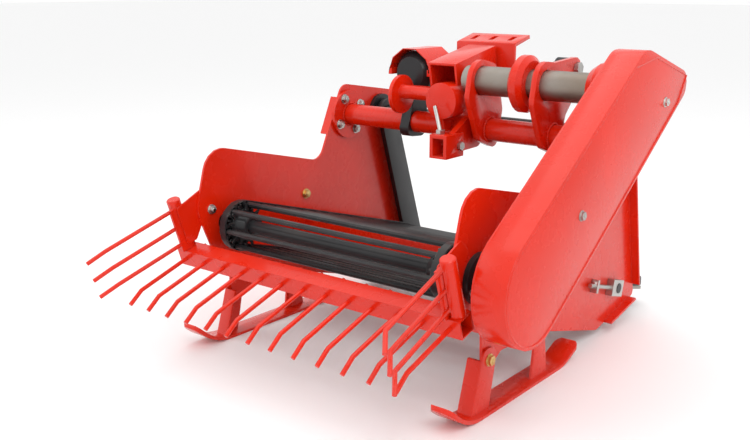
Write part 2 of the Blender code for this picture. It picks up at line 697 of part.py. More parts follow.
def shafts():
    """The rear drive shaft and the front roller, each with two wheels in the chains."""
    radius = SHAFT_DIAMETER / 2
    wheel = CHAIN_WIDTH / 2 + 0.004
    boss = 0.028
    ends = ((HALF_WIDTH + 0.040, CASE_INNER_X + 0.040), (HALF_WIDTH + 0.022, HALF_WIDTH + 0.022))
    for name, at, shaft, (left, right) in (
            ("drive_shaft", 0, radius, ends[0]), ("front_roller", WEB_LENGTH, 0.011, ends[1])):
        profile = [(0, right), (shaft, right)]
        for centre in (CHAIN_X, -CHAIN_X):
            near = centre + wheel
            far = centre - wheel
            collar = boss if name == "drive_shaft" else 0.022
            step = 0.022
            if centre > 0:
                profile += [(shaft, near + GAP), (SPROCKET_RADIUS, near), (SPROCKET_RADIUS, far),
                            (collar, far - GAP), (collar, far - step), (shaft, far - step - GAP)]
            else:
                profile += [(shaft, near + step + GAP), (collar, near + step), (collar, near + GAP),
                            (SPROCKET_RADIUS, near), (SPROCKET_RADIUS, far), (shaft, far - GAP)]
        profile += [(shaft, -left), (0, -left)]
        turned(name, profile, (0, at, 0), TO_X, BODY, BLACK, 24)


CROSS_MEMBERS = (("rear_cross_member", 0.235), ("front_cross_member", 0.402))


def frame_members():
    """Red box sections between the side plates, inside the elevator's loop."""
    inner = WEB_RADIUS - CHAIN_HEIGHT - ROD_DIAMETER / 2 + CHAIN_HEIGHT / 2
    tall = inner - 0.010
    for name, y in CROSS_MEMBERS:
        member = box(name, (-HALF_WIDTH + GAP, y - 0.020, -tall), (HALF_WIDTH - GAP, y + 0.020, tall),
                     BODY, RED)
        wall = 0.003
        cut(member, box(name + "_hollow", (-HALF_WIDTH - 0.01, y - 0.020 + wall, wall - tall),
                        (HALF_WIDTH + 0.01, y + 0.020 - wall, tall - wall), BODY, RED))


def bearings():
    """Flanged bearings on the outside of the side plates, and the web's tensioners."""
    fit = SHAFT_DIAMETER / 2 + GAP
    for word, side in SIDES:
        near, far = OUTER_FACE + GAP, OUTER_FACE + 0.030
        half = (far - near) / 2
        middle = side * (near + far) / 2
        profile = [(fit, half), (0.026, half), (0.029, -half + 0.012), (0.046, -half + 0.010),
                   (0.046, -half), (fit, -half)]
        if side < 0:
            profile = [(radius, -height) for radius, height in profile[::-1]]
        turned(word + "_shaft_bearing", profile, (middle, 0, 0), TO_X, BODY, BLACK, 24)
        near, far = span(side, OUTER_FACE + GAP, OUTER_FACE + 0.016)
        block = box(word + "_tensioner", (near, WEB_LENGTH - 0.030, -0.018),
                    (far, WEB_LENGTH + 0.022, 0.018), BODY, STEEL)
        cut(block, rod(word + "_tensioner_bore", 0.011 + GAP, -0.4, 0.4, (WEB_LENGTH, 0), BODY,
                       STEEL, 24))
        x = (near + far) / 2
        screw = wire(word + "_tensioner_screw", [[(x, WEB_LENGTH - 0.132, 0),
                                                 (x, WEB_LENGTH - 0.028, 0)]], 0.010, BODY, STEEL)
        join(block, meshed(screw))
        anchor = box(word + "_tensioner_anchor", (near, WEB_LENGTH - 0.112, -0.014),
                     (far, WEB_LENGTH - 0.104, 0.014), BODY, RED)
        join(block, anchor)


# ---- skids --------------------------------------------------------------------------
SKID_X = 0.315


def skids():
    """Flat runners with turned-up ends, each bolted to a bracket on its side plate."""
    thick = SHEET
    (rear_y, rear_z), (front_y, front_z) = SKID_BOLTS
    nose = 0.046
    under = [(SKID_REAR, nose, 0.010), (0.062, 0, 0.12), (0.405, 0, 0.10), (SKID_FRONT, 0.026, 0.010)]
    over = [(y, z + SKID_THICKNESS) for y, z in ((SKID_FRONT - 0.003, 0.0265), (0.4055, 0.0),
                                                 (0.0645, 0.0), (SKID_REAR + 0.005, nose + 0.001))]
    radii = (0.0, 0.094, 0.114, 0.0)
    profile = rounded([(under[0][0], under[0][1], 0), *under[1:3], (*under[3][:2], 0),
                       *[(y, z, radius) for (y, z), radius in zip(over, radii)]], 6)
    for word, side in SIDES:
        near, far = span(side, SKID_X - SKID_WIDTH / 2, SKID_X + SKID_WIDTH / 2)
        skid = plate(word + "_skid", [profile], near, far, MACHINE, RED)
        round_end = 0.022
        corners = rounded([(near - 0.0002, SKID_REAR - 0.001, round_end),
                           (far + 0.0002, SKID_REAR - 0.001, round_end),
                           (far + 0.0002, SKID_FRONT + 0.001, round_end),
                           (near - 0.0002, SKID_FRONT + 0.001, round_end)], 5)
        shape = flat(word + "_skid_plan", corners, 0.4, MACHINE, RED)
        combine(skid, shape, "INTERSECT")
        inner = OUTER_FACE + thick + 2 * GAP
        rear = plate(word + "_skid_strut", [rounded([
            (rear_y - 0.050, SKID_THICKNESS / 2, 0), (rear_y + 0.004, SKID_THICKNESS / 2, 0),
            (rear_y + 0.024, rear_z, 0.004), (rear_y + 0.022, rear_z + 0.022, 0.018),
            (rear_y - 0.018, rear_z + 0.022, 0.016)], 4)],
            *span(side, inner, inner + thick), MACHINE, RED)
        back = plate(word + "_strut_back", [[
            (rear_y - 0.054, SKID_THICKNESS / 2), (rear_y - 0.0485, SKID_THICKNESS / 2),
            (rear_y - 0.0185, rear_z + 0.004), (rear_y - 0.024, rear_z + 0.004)]],
            *span(side, inner + thick - 0.030, inner + thick - 0.0004), MACHINE, RED)
        front = plate(word + "_skid_lug", [rounded([
            (front_y - 0.030, SKID_THICKNESS / 2, 0), (front_y + 0.030, SKID_THICKNESS / 2, 0),
            (front_y + 0.016, front_z + 0.018, 0.014), (front_y - 0.016, front_z + 0.018, 0.014)], 4)],
            *span(side, inner, inner + thick), MACHINE, RED)
        join(skid, rear, back, front)
        plate(word + "_skid_bracket", [rounded([
            (rear_y - 0.018, rear_z + 0.062, 0.016), (rear_y - 0.014, rear_z - 0.014, 0.014),
            (rear_y + 0.018, rear_z - 0.016, 0.014), (rear_y + 0.050, front_z + 0.010, 0.02),
            (front_y - 0.040, front_z + 0.004, 0.02), (front_y - 0.018, front_z - 0.017, 0.012),
            (front_y + 0.018, front_z - 0.017, 0.012), (front_y + 0.022, front_z + 0.032, 0.012),
            (rear_y + 0.050, rear_z + 0.058, 0.020)], 4)],
            *span(side, OUTER_FACE + GAP, OUTER_FACE + GAP + thick), MACHINE, RED)


# ---- rear grate ---------------------------------------------------------------------
def rear_grate():
    """A square bar with bent tines, and at each end a leaning post with three more."""
    half = GRATE_BAR / 2
    bar = box("grate_bar", (-GRATE_HALF, -half, -half), (GRATE_HALF, half, half), GRATE, RED)
    wall = 0.003
    cut(bar, box("bar_hollow", (-GRATE_HALF - 0.01, wall - half, wall - half),
                 (GRATE_HALF + 0.01, half - wall, half - wall), GRATE, RED))
    paths = []
    for number in range(TINE_COUNT):
        x = (number - (TINE_COUNT - 1) / 2) * TINE_PITCH
        paths.append([(x, half + 0.019, 0), (x, -TINE_BEND, 0), (x, -TINE_END, -TINE_DROP)])
    join(bar, meshed(wire("grate_tines", paths, TINE_DIAMETER, GRATE, RED)))
    foot = half + GAP
    post_x = GRATE_HALF - POST_DIAMETER / 2
    for word, side in SIDES:
        height = POST_HEIGHT - foot
        radius = POST_DIAMETER / 2
        post = turned(word + "_grate_post",
                      [(0, height / 2), (radius - 0.002, height / 2), (radius, height / 2 - 0.002),
                       (radius, -height / 2), (0, -height / 2)],
                      (side * post_x, 0, foot + height / 2), (0, 0, 0), GRATE, RED, 20)
        near, far = span(side, post_x - radius + 0.001, post_x - radius + 0.006)
        flat = box(word + "_post_flat", (near, -0.024, foot + 0.0004), (far, 0.010, POST_HEIGHT - 0.014),
                   GRATE, RED)
        reach = POST_TINE_BEND
        tip = reach + TINE_END - TINE_BEND
        paths = []
        for z in POST_TINES:
            x = side * (post_x - 0.008)
            bend = side * (post_x - 0.004 + POST_TINE_FLARE / 2)
            end = side * (GRATE_HALF + POST_TINE_FLARE - TINE_DIAMETER / 2 * cos(radians(12)))
            paths.append([(x, 0, z), (bend, -reach, z), (end, -tip, z - TINE_DROP)])
        join(post, flat, meshed(wire(word + "_post_tines", paths, TINE_DIAMETER, GRATE, RED)))
        plate(word + "_grate_wing", [rounded([
            (-0.010, 0.030, 0.006), (0.014, 0.030, 0.006), (0.036, 0.052, 0.012),
            (0.078, 0.092, 0.010), (0.062, 0.122, 0.004), (-0.010, 0.114, 0.006)], 4)],
            *span(side, OUTER_FACE + GAP, post_x - radius - GAP), GRATE, RED)


# ---- share --------------------------------------------------------------------------
def share():
    """The digging share on two legs that hang from the rocker shaft."""
    rod("rocker_shaft", ROCKER_DIAMETER / 2, -HALF_WIDTH + 0.002, HALF_WIDTH - 0.002, (0, 0),
        SHARE, BLACK, 20)
    # The blade slopes down to its point, which stands on the floor.
    fall = tan(SHARE_SLOPE)
    rear = SHARE_REAR - SHARE_Y
    under = (SHARE_TIP - SHARE_REAR) * fall + GAP - SHARE_Z
    length = (SHARE_TIP - SHARE_REAR) / cos(SHARE_SLOPE)
    half = SHARE_HALF
    outline = [(-half, 0), (half, 0), (half, length * 0.40), (half * 0.86, length * 0.48),
               (0.045, length * 0.76), (0.0, length), (-0.045, length * 0.76),
               (-half * 0.86, length * 0.48), (-half, length * 0.40)]
    piece = flat("share_blade", outline, SHARE_THICKNESS, SHARE, STEEL)
    lift = SHARE_THICKNESS / 2
    piece.location = (0, rear + lift * sin(SHARE_SLOPE), under + lift * cos(SHARE_SLOPE))
    piece.rotation_euler = (-SHARE_SLOPE, 0, 0)

    def top(y):
        return under + SHARE_THICKNESS / cos(SHARE_SLOPE) + GAP - (y - rear) * fall

    foot = Vector((0.109, -0.340))      # from the rocker shaft down to the toe
    across = Vector((-foot.y, foot.x)).normalized() * (LEG_WIDTH / 2)
    toe_end = rear + 0.105
    for word, side in SIDES:
        near, far = span(side, LEG_X - LEG_THICKNESS / 2, LEG_X + LEG_THICKNESS / 2)
        outline = rounded([
            (*(-across), 0), (*(foot - across), 0.03), (rear + 0.004, top(rear + 0.004), 0.002),
            (toe_end, top(toe_end), 0.004), (toe_end, top(toe_end) + 0.022, 0.010),
            (*(foot + across * 1.2), 0.03), (*across, 0)], 4)
        leg = plate(word + "_share_leg", [outline], near, far, SHARE, BLACK)
        eye = rod(word + "_leg_eye", 0.031, near - 0.0004, far + 0.0004, (0, 0), SHARE, BLACK)
        bore = rod(word + "_leg_bore", ROCKER_DIAMETER / 2 + GAP, near - 0.01, far + 0.01, (0, 0),
                   SHARE, BLACK, 20)
        join(leg, eye)
        cut(leg, bore)


side_plates()
tubes()
lugs()
hitch()
adjuster()
gearbox()
chain_case()
elevator()
shafts()
frame_members()
bearings()
skids()
rear_grate()
share()
for item in PARTS.objects:
    if item.type == "MESH":
        smooth(item)
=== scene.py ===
"""The looks of a potato digger: paint, bare steel, bolts, chain links, teeth and welds."""
import json
from math import cos, pi, radians, sin

import bmesh
import bpy
from bpy.props import FloatProperty, FloatVectorProperty, PointerProperty
from mathutils import Euler, Matrix, Vector


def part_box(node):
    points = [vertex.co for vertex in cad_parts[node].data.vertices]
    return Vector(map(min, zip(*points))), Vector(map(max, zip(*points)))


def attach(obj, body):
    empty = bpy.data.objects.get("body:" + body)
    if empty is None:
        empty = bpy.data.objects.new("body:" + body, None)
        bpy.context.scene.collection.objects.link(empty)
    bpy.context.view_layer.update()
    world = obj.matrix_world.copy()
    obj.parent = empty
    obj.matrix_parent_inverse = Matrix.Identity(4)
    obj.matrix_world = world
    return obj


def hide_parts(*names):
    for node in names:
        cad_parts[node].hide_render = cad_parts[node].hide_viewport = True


bl_info = {
    "name": "Potato digger",
    "version": (1, 0, 0),
    "blender": (4, 5, 0),
    "location": "View3D > Sidebar > Digger",
    "description": "Dresses a potato digger's frame with its finishes and small parts",
    "category": "Object",
}

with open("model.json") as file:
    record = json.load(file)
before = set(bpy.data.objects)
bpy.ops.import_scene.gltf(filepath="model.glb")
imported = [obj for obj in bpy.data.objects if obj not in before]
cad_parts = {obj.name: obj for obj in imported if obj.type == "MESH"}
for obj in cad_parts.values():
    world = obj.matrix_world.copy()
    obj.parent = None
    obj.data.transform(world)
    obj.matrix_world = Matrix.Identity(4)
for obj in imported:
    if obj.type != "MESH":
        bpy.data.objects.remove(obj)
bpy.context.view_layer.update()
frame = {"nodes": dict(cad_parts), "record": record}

# ---- places, all from the frame -----------------------------------------------------
NOSE_DOWN = radians(16)


def middle(node):
    low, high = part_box(node)
    return (low + high) / 2


SHAFT = middle("left_shaft_bearing")
ROLLER = middle("front_roller")
CENTRE_X = (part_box("left_side_plate")[1].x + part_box("right_side_plate")[0].x) / 2
INNER_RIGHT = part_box("right_side_plate")[0].x
OUTER_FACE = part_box("right_tensioner")[0].x - 0.0003
CASE_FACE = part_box("chain_case")[1].x


def body_point(x, y, z):
    """A place given from the drive shaft, along and square to the sloping elevator."""
    return Vector((x, SHAFT.y + y * cos(NOSE_DOWN) + z * sin(NOSE_DOWN),
                   SHAFT.z - y * sin(NOSE_DOWN) + z * cos(NOSE_DOWN)))


# ---- settings -----------------------------------------------------------------------
class DiggerPaint(bpy.types.PropertyGroup):
    red: FloatVectorProperty(name="Paint", description="Main paint colour", subtype="COLOR",
                             size=3, min=0, max=1, default=(0.74, 0.018, 0.002))
    black: FloatVectorProperty(name="Black", description="Chains, shafts and legs",
                               subtype="COLOR", size=3, min=0, max=1,
                               default=(0.016, 0.016, 0.018))
    gloss: FloatProperty(name="Roughness", description="Roughness of the paint", default=0.27,
                         min=0, max=1)
    wear: FloatProperty(name="Wear", description="How far edges are rubbed", default=0.22,
                        min=0, max=1)


class DiggerParts(bpy.types.PropertyGroup):
    bolt: FloatProperty(name="Bolt", description="Across the corners of a bolt head",
                        default=0.019, min=0.004, max=0.05, unit="LENGTH")
    pitch: FloatProperty(name="Chain pitch", description="Length of a chain link",
                         default=0.0216, min=0.01, max=0.06, unit="LENGTH")
    weld: FloatProperty(name="Weld", description="Width of a weld bead", default=0.006,
                        min=0.002, max=0.02, unit="LENGTH")


# ---- shader groups ------------------------------------------------------------------
def new_group(name, inputs, outputs):
    group = bpy.data.node_groups.new(name, "ShaderNodeTree")
    for label, kind, value in inputs:
        made = group.interface.new_socket(label, in_out="INPUT", socket_type=kind)
        made.default_value = value
    for label, kind in outputs:
        group.interface.new_socket(label, in_out="OUTPUT", socket_type=kind)
    return group, group.nodes.new("NodeGroupInput"), group.nodes.new("NodeGroupOutput")


def link(tree, start, end):
    tree.links.new(start, end)


def noise(tree, scale, detail=4.0, stretch=(1, 1, 1)):
    """Noise on the piece's own coordinates."""
    where = tree.nodes.new("ShaderNodeTexCoord")
    shift = tree.nodes.new("ShaderNodeMapping")
    shift.inputs["Scale"].default_value = stretch
    made = tree.nodes.new("ShaderNodeTexNoise")
    made.inputs["Scale"].default_value = scale
    made.inputs["Detail"].default_value = detail
    link(tree, where.outputs["Object"], shift.inputs["Vector"])
    link(tree, shift.outputs["Vector"], made.inputs["Vector"])
    return made


def ramp(tree, source, low, high):
    """A smooth step between two values of the source."""
    made = tree.nodes.new("ShaderNodeMapRange")
    made.interpolation_type = "SMOOTHSTEP"
    made.inputs["From Min"].default_value = low
    made.inputs["From Max"].default_value = high
    link(tree, source, made.inputs["Value"])
    return made.outputs["Result"]


def maths(tree, operation, a, b):
    made = tree.nodes.new("ShaderNodeMath")
    made.operation = operation
    for socket, value in zip(made.inputs, (a, b)):
        if isinstance(value, (int, float)):
            socket.default_value = value
        else:
            link(tree, value, socket)
    return made.outputs[0]


def mix(tree, factor, a, b):
    made = tree.nodes.new("ShaderNodeMix")
    made.data_type = "RGBA"
    link(tree, factor, made.inputs["Factor"])
    for name, value in (("A", a), ("B", b)):
        socket = [s for s in made.inputs if s.name == name and s.type == "RGBA"][0]
        if isinstance(value, (tuple, list)):
            socket.default_value = value
        else:
            link(tree, value, socket)
    return [s for s in made.outputs if s.type == "RGBA"][0]


def edge_group():
    """A mask of rubbed edges: where the rounded normal leaves the true one, broken up."""
    tree, inside, outside = new_group(
        "rubbed_edges", [("Width", "NodeSocketFloat", 0.002), ("Amount", "NodeSocketFloat", 0.3)],
        [("Mask", "NodeSocketFloat")])
    soft = tree.nodes.new("ShaderNodeBevel")
    soft.samples = 4
    true = tree.nodes.new("ShaderNodeNewGeometry")
    dot = tree.nodes.new("ShaderNodeVectorMath")
    dot.operation = "DOT_PRODUCT"
    link(tree, inside.outputs["Width"], soft.inputs["Radius"])
    link(tree, soft.outputs["Normal"], dot.inputs[0])
    link(tree, true.outputs["Normal"], dot.inputs[1])
    bare = ramp(tree, dot.outputs["Value"], 0.97, 0.80)
    rough = ramp(tree, noise(tree, 55, 5).outputs["Fac"], 0.50, 0.66)
    worn = maths(tree, "MULTIPLY", bare, rough)
    link(tree, maths(tree, "MULTIPLY", worn, inside.outputs["Amount"]), outside.inputs["Mask"])
    return tree


def dust_group():
    """Fine field dust: it lies on faces that look up and low on the machine."""
    tree, inside, outside = new_group("field_dust", [("Amount", "NodeSocketFloat", 0.15)],
                                      [("Mask", "NodeSocketFloat")])
    true = tree.nodes.new("ShaderNodeNewGeometry")
    split = tree.nodes.new("ShaderNodeSeparateXYZ")
    link(tree, true.outputs["Normal"], split.inputs[0])
    up = ramp(tree, split.outputs["Z"], 0.2, 1.0)
    patch = ramp(tree, noise(tree, 9, 6).outputs["Fac"], 0.42, 0.70)
    both = maths(tree, "MULTIPLY", up, patch)
    link(tree, maths(tree, "MULTIPLY", both, inside.outputs["Amount"]), outside.inputs["Mask"])
    return tree


def grain_group():
    """A height for bump: the slow ripple of sprayed paint, or fine turning lines."""
    tree, inside, outside = new_group(
        "surface_grain", [("Ripple", "NodeSocketFloat", 1.0), ("Fine", "NodeSocketFloat", 0.2)],
        [("Height", "NodeSocketFloat")])
    slow = maths(tree, "MULTIPLY", noise(tree, 260, 2).outputs["Fac"], inside.outputs["Ripple"])
    fine = maths(tree, "MULTIPLY", noise(tree, 900, 4, (1, 6, 6)).outputs["Fac"],
                 inside.outputs["Fine"])
    link(tree, maths(tree, "ADD", slow, fine), outside.inputs["Height"])
    return tree


GROUPS = {}


def place_group(tree, name, **values):
    node = tree.nodes.new("ShaderNodeGroup")
    node.node_tree = GROUPS[name]
    for label, value in values.items():
        node.inputs[label].default_value = value
    return node


def finish_of(name, colour, roughness, metallic=0.0, coat=0.0, bare=(0.30, 0.28, 0.26), wear=0.25,
              dust=0.10, spread=0.10, ripple=0.8, fine=0.1, bump=0.05, shift=None):
    """A painted or bare metal: base colour that varies, rubbed edges, dust and grain."""
    made = bpy.data.materials.new(name)
    made.use_nodes = True
    tree = made.node_tree
    shader = tree.nodes["Principled BSDF"]
    shader.inputs["Metallic"].default_value = metallic
    shader.inputs["Coat Weight"].default_value = coat
    shader.inputs["Coat Roughness"].default_value = 0.08
    if not metallic:
        shader.inputs["Specular IOR Level"].default_value = 0.32
    shade = tuple(c * (1 - spread * 2.2) for c in colour)
    patches = ramp(tree, noise(tree, 6, 5).outputs["Fac"], 0.30, 0.72)
    base = mix(tree, patches, (*(shift or shade), 1), (*colour, 1))
    edge = place_group(tree, "edges", Amount=wear)
    dusty = place_group(tree, "dust", Amount=dust)
    base = mix(tree, edge.outputs["Mask"], base, (*bare, 1))
    base = mix(tree, dusty.outputs["Mask"], base, (0.42, 0.33, 0.25, 1))
    link(tree, base, shader.inputs["Base Color"])
    smear = maths(tree, "MULTIPLY", noise(tree, 24, 5).outputs["Fac"], 0.22)
    rough = maths(tree, "ADD", smear, roughness - 0.11)
    rough = maths(tree, "ADD", rough, dusty.outputs["Mask"])
    link(tree, rough, shader.inputs["Roughness"])
    grain = place_group(tree, "grain", Ripple=ripple, Fine=fine)
    raised = tree.nodes.new("ShaderNodeBump")
    raised.inputs["Strength"].default_value = bump
    raised.inputs["Distance"].default_value = 0.0006
    rounded = tree.nodes.new("ShaderNodeBevel")
    rounded.samples = 4
    rounded.inputs["Radius"].default_value = 0.0012
    link(tree, rounded.outputs["Normal"], raised.inputs["Normal"])
    link(tree, grain.outputs["Height"], raised.inputs["Height"])
    link(tree, raised.outputs["Normal"], shader.inputs["Normal"])
    return made


MATERIALS = {}


def make_materials(paint):
    GROUPS["edges"] = edge_group()
    GROUPS["dust"] = dust_group()
    GROUPS["grain"] = grain_group()
    red = tuple(paint.red)
    black = tuple(paint.black)
    MATERIALS.update({
        "red_paint": finish_of("red_gloss_paint", red, paint.gloss, coat=0.22, wear=paint.wear,
                               dust=0.03, spread=0.05, bump=0.10),
        "black_paint": finish_of("black_chassis_paint", black, 0.42, coat=0.15, wear=0.45,
                                 dust=0.06, spread=0.2, bump=0.2),
        "bare_steel": finish_of("ground_steel", (0.36, 0.34, 0.31), 0.36, 1.0, wear=0.1, fine=1.4,
                                dust=0.05, bump=0.35, shift=(0.24, 0.19, 0.15)),
        "zinc_steel": finish_of("zinc_plate", (0.62, 0.61, 0.58), 0.30, 1.0, fine=0.6, dust=0.05,
                                bump=0.25, spread=0.15),
        "yellow_zinc": finish_of("yellow_zinc_plate", (0.72, 0.50, 0.16), 0.30, 1.0, fine=0.6,
                                 dust=0.03, bump=0.2, shift=(0.62, 0.46, 0.24)),
        "black_plastic": finish_of("moulded_guard", (0.02, 0.021, 0.024), 0.48, wear=0.1,
                                   dust=0.10, spread=0.2, bump=0.3, bare=(0.08, 0.08, 0.09)),
    })


# ---- tools --------------------------------------------------------------------------
def new_object(name, mesh):
    made = bpy.data.objects.new(name, mesh)
    bpy.context.scene.collection.objects.link(made)
    return made


def settle(piece, body, slot, smooth_angle=32):
    """Give a finished piece its material, shading, body and slot."""
    piece.data.materials.clear()
    piece.data.materials.append(MATERIALS[slot])
    piece.data.shade_smooth()
    piece.data.set_sharp_from_angle(angle=radians(smooth_angle))
    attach(piece, body)
    return piece


def baked(piece):
    """The piece with its modifiers applied, as a plain mesh."""
    bpy.context.view_layer.update()
    graph = bpy.context.evaluated_depsgraph_get()
    mesh = bpy.data.meshes.new_from_object(piece.evaluated_get(graph))
    name = piece.name
    bpy.data.objects.remove(piece, do_unlink=True)
    mesh.name = name
    return new_object(name, mesh)


def shape_from(parts):
    """One mesh from (kind, size, matrix) primitives."""
    shape = bmesh.new()
    for kind, size, matrix in parts:
        if kind == "box":
            made = bmesh.ops.create_cube(shape, size=1.0)["verts"]
            bmesh.ops.scale(shape, vec=size, verts=made)
        elif kind == "ball":
            made = bmesh.ops.create_uvsphere(shape, u_segments=8, v_segments=6, radius=1.0)["verts"]
            bmesh.ops.scale(shape, vec=size, verts=made)
        else:
            made = bmesh.ops.create_cone(shape, cap_ends=True, segments=size[3], radius1=size[0],
                                         radius2=size[1], depth=size[2])["verts"]
        bmesh.ops.transform(shape, matrix=matrix, verts=made)
    mesh = bpy.data.meshes.new("pattern")
    shape.to_mesh(mesh)
    shape.free()
    return mesh


def repeat_tree():
    """Copies of a pattern on points that carry their own turn and size."""
    tree = bpy.data.node_groups.new("repeat_on_points", "GeometryNodeTree")
    face = tree.interface
    face.new_socket("Geometry", in_out="INPUT", socket_type="NodeSocketGeometry")
    face.new_socket("Pattern", in_out="INPUT", socket_type="NodeSocketObject")
    face.new_socket("Finish", in_out="INPUT", socket_type="NodeSocketMaterial")
    face.new_socket("Geometry", in_out="OUTPUT", socket_type="NodeSocketGeometry")
    nodes = tree.nodes
    inside, outside = nodes.new("NodeGroupInput"), nodes.new("NodeGroupOutput")
    pattern = nodes.new("GeometryNodeObjectInfo")
    copies = nodes.new("GeometryNodeInstanceOnPoints")
    turn = nodes.new("GeometryNodeInputNamedAttribute")
    turn.data_type = "FLOAT_VECTOR"
    turn.inputs["Name"].default_value = "turn"
    size = nodes.new("GeometryNodeInputNamedAttribute")
    size.data_type = "FLOAT"
    size.inputs["Name"].default_value = "size"
    spin = nodes.new("FunctionNodeEulerToRotation")
    real = nodes.new("GeometryNodeRealizeInstances")
    colour = nodes.new("GeometryNodeSetMaterial")
    for start, end in (
            (inside.outputs["Geometry"], copies.inputs["Points"]),
            (inside.outputs["Pattern"], pattern.inputs["Object"]),
            (pattern.outputs["Geometry"], copies.inputs["Instance"]),
            (turn.outputs["Attribute"], spin.inputs[0]),
            (spin.outputs[0], copies.inputs["Rotation"]),
            (size.outputs["Attribute"], copies.inputs["Scale"]),
            (copies.outputs["Instances"], real.inputs["Geometry"]),
            (real.outputs["Geometry"], colour.inputs["Geometry"]),
            (inside.outputs["Finish"], colour.inputs["Material"]),
            (colour.outputs["Geometry"], outside.inputs["Geometry"])):
        link(tree, start, end)
    return tree


def repeat(name, pattern_mesh, places, body, slot):
    """Puts the pattern at (point, axis direction or turn, size); its own axis is +Z."""
    tree = bpy.data.node_groups.get("repeat_on_points") or repeat_tree()
    mesh = bpy.data.meshes.new(name)
    mesh.from_pydata([tuple(point) for point, _, _ in places], [], [])
    turns = []
    for _, way, _ in places:
        if not isinstance(way, Euler):
            way = Vector((0, 0, 1)).rotation_difference(Vector(way)).to_euler()
        turns.extend(way)
    mesh.attributes.new("turn", "FLOAT_VECTOR", "POINT")
    mesh.attributes["turn"].data.foreach_set("vector", turns)
    mesh.attributes.new("size", "FLOAT", "POINT")
    mesh.attributes["size"].data.foreach_set("value", [size for _, _, size in places])
    piece = new_object(name, mesh)
    pattern = new_object(name + "_pattern", pattern_mesh)
    maker = piece.modifiers.new("Repeat", "NODES")
    maker.node_group = tree
    for item in tree.interface.items_tree:
        if item.in_out == "INPUT" and item.name == "Pattern":
            maker[item.identifier] = pattern
        elif item.in_out == "INPUT" and item.name == "Finish":
            maker[item.identifier] = MATERIALS[slot]
    piece = baked(piece)
    bpy.data.objects.remove(pattern, do_unlink=True)
    return settle(piece, body, slot)


def bolt_pattern():
    """A hex head on a washer with the rounded end of its thread, one unit across corners."""
    up = Matrix.Translation
    return shape_from([("cone", (0.62, 0.60, 0.10, 20), up((0, 0, 0.05))),
                       ("cone", (0.50, 0.50, 0.30, 6), up((0, 0, 0.25))),
                       ("cone", (0.44, 0.36, 0.05, 6), up((0, 0, 0.42))),
                       ("cone", (0.24, 0.20, 0.12, 12), up((0, 0, 0.48)))])


# ---- pieces -------------------------------------------------------------------------
ROUNDED = {"hitch_beam", "hitch_bracket", "lug_1", "lug_2", "adjuster_clevis", "left_skid",
           "right_skid", "chain_case", "left_share_leg", "right_share_leg", "share_blade"}


def dress_nodes():
    """Each frame node as a welded, smooth-shaded copy in its real finish."""
    record = frame["record"]
    slots = {row["node"]: row["material_slot"] for row in record["subparts"]}
    owners = record["behaviour"]["bodies"]
    for body, nodes in owners.items():
        for node in nodes:
            mesh = frame["nodes"][node].data.copy()
            shape = bmesh.new()
            shape.from_mesh(mesh)
            bmesh.ops.remove_doubles(shape, verts=shape.verts, dist=0.00002)
            bmesh.ops.dissolve_limit(shape, angle_limit=radians(0.5), verts=shape.verts,
                                     edges=shape.edges)
            shape.to_mesh(mesh)
            shape.free()
            piece = new_object("dressed_" + node, mesh)
            if node in ROUNDED:
                soft = piece.modifiers.new("Soft edges", "BEVEL")
                soft.width = 0.0009
                soft.segments = 2
                soft.limit_method = "ANGLE"
                soft.angle_limit = radians(50)
                piece = baked(piece)
            settle(piece, body, slots[node])
            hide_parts(node)


def bolts(size):
    """Every visible nut and bolt head, in silver or yellow zinc."""
    silver, yellow = [], []
    left, right = Vector((-1, 0, 0)), Vector((1, 0, 0))
    tube = (0.3335, 0.288)
    rocker = (0.453, 0.317)
    for side, way in ((-1, right), (1, left)):
        inner = CENTRE_X + side * (INNER_RIGHT - CENTRE_X)
        for i in range(4):
            turn = radians(45 + 90 * i)
            silver.append((body_point(inner - side * 0.0078, tube[0] + 0.042 * cos(turn),
                                      tube[1] + 0.042 * sin(turn)), way, size))
        for turn in (radians(25), radians(205)):
            silver.append((body_point(inner - side * 0.0098, rocker[0] + 0.031 * cos(turn),
                                      rocker[1] + 0.031 * sin(turn)), way, size * 0.8))
        yellow.append((body_point(inner, 0.235, 0.085), way, size))
        silver.append((body_point(inner, -0.045, 0.022), way, size * 0.9))
        outer = CENTRE_X + side * (OUTER_FACE - CENTRE_X)
        for turn in (0.7, 0.7 + pi):
            silver.append((body_point(outer + side * 0.009, 0.037 * cos(turn),
                                      0.037 * sin(turn)), -way, size * 0.7))
        silver.append((body_point(outer, 0.235, 0), -way, size))
        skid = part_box("right_skid_bracket")[1].x + 0.0053
        for spot in skid_bolts():
            yellow.append((Vector((CENTRE_X + side * (skid - CENTRE_X), *spot)), -way, size))
    for y, z in ((0.395, 0.385), (0.115, 0.135)):
        silver.append((body_point(CASE_FACE - 0.0002, y, z), right, size * 0.85))
    shape = bolt_pattern()
    repeat("silver_bolts", shape, silver, "frame", "zinc_steel")
    repeat("yellow_bolts", shape.copy(), yellow, "frame", "yellow_zinc")


def skid_bolts():
    """The two bolts of a skid, from its bracket's box."""
    low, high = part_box("right_skid_bracket")
    return ((low.y + 0.0182, low.z + 0.025), (high.y - 0.022, low.z + 0.017))


def web_loop(radius, step):
    """Evenly spaced places round the two shafts, with the direction of travel."""
    length = (ROLLER - Vector((ROLLER.x, SHAFT.y, SHAFT.z))).length
    total = 2 * length + 2 * pi * radius
    count = round(total / step)
    for i in range(count):
        run = total * i / count
        bend = pi * radius
        if run < length:
            yield run, radius, 0.0
        elif run < length + bend:
            turn = (run - length) / radius
            yield length + radius * sin(turn), radius * cos(turn), -turn
        elif run < 2 * length + bend:
            yield 2 * length + bend - run, -radius, pi
        else:
            turn = (run - 2 * length - bend) / radius
            yield -radius * sin(turn), -radius * cos(turn), pi - turn


